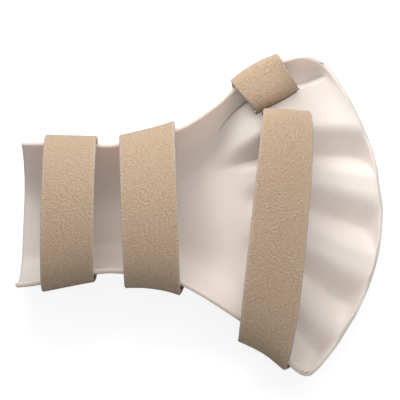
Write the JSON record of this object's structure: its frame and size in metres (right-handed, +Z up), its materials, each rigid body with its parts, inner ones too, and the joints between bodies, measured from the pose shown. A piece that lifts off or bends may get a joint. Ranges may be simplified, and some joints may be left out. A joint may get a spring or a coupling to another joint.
{
  "type": "anti-spasticity hand splint",
  "caption": "Moulded plastic hand splint with a forearm trough, a fan-shaped hand pan with finger separators and a thumb trough, and fabric straps that close over hook patches.",
  "frame": {"origin": "middle of the flat underside of the forearm trough, on the surface that the splint rests on", "axes": "+X from the forearm end to the finger end, +Y to the thumb side, +Z up, out of the open side"},
  "size_m": [0.2554, 0.2299, 0.0628],
  "materials": {
    "shell_plastic": "satin",
    "strap_fabric": "brushed loop",
    "hook_tape": "matte hook pile"
  },
  "bodies": {
    "root": {"splint_shell": "shell_plastic", "forearm_strap": "strap_fabric", "forearm_strap_hook_little": "hook_tape", "forearm_strap_hook_thumb": "hook_tape", "wrist_strap": "strap_fabric", "wrist_strap_hook_little": "hook_tape", "wrist_strap_hook_thumb": "hook_tape", "palm_strap": "strap_fabric", "palm_strap_hook": "hook_tape", "thumb_strap": "strap_fabric", "thumb_strap_hook": "hook_tape"}
  },
  "joints": []
}
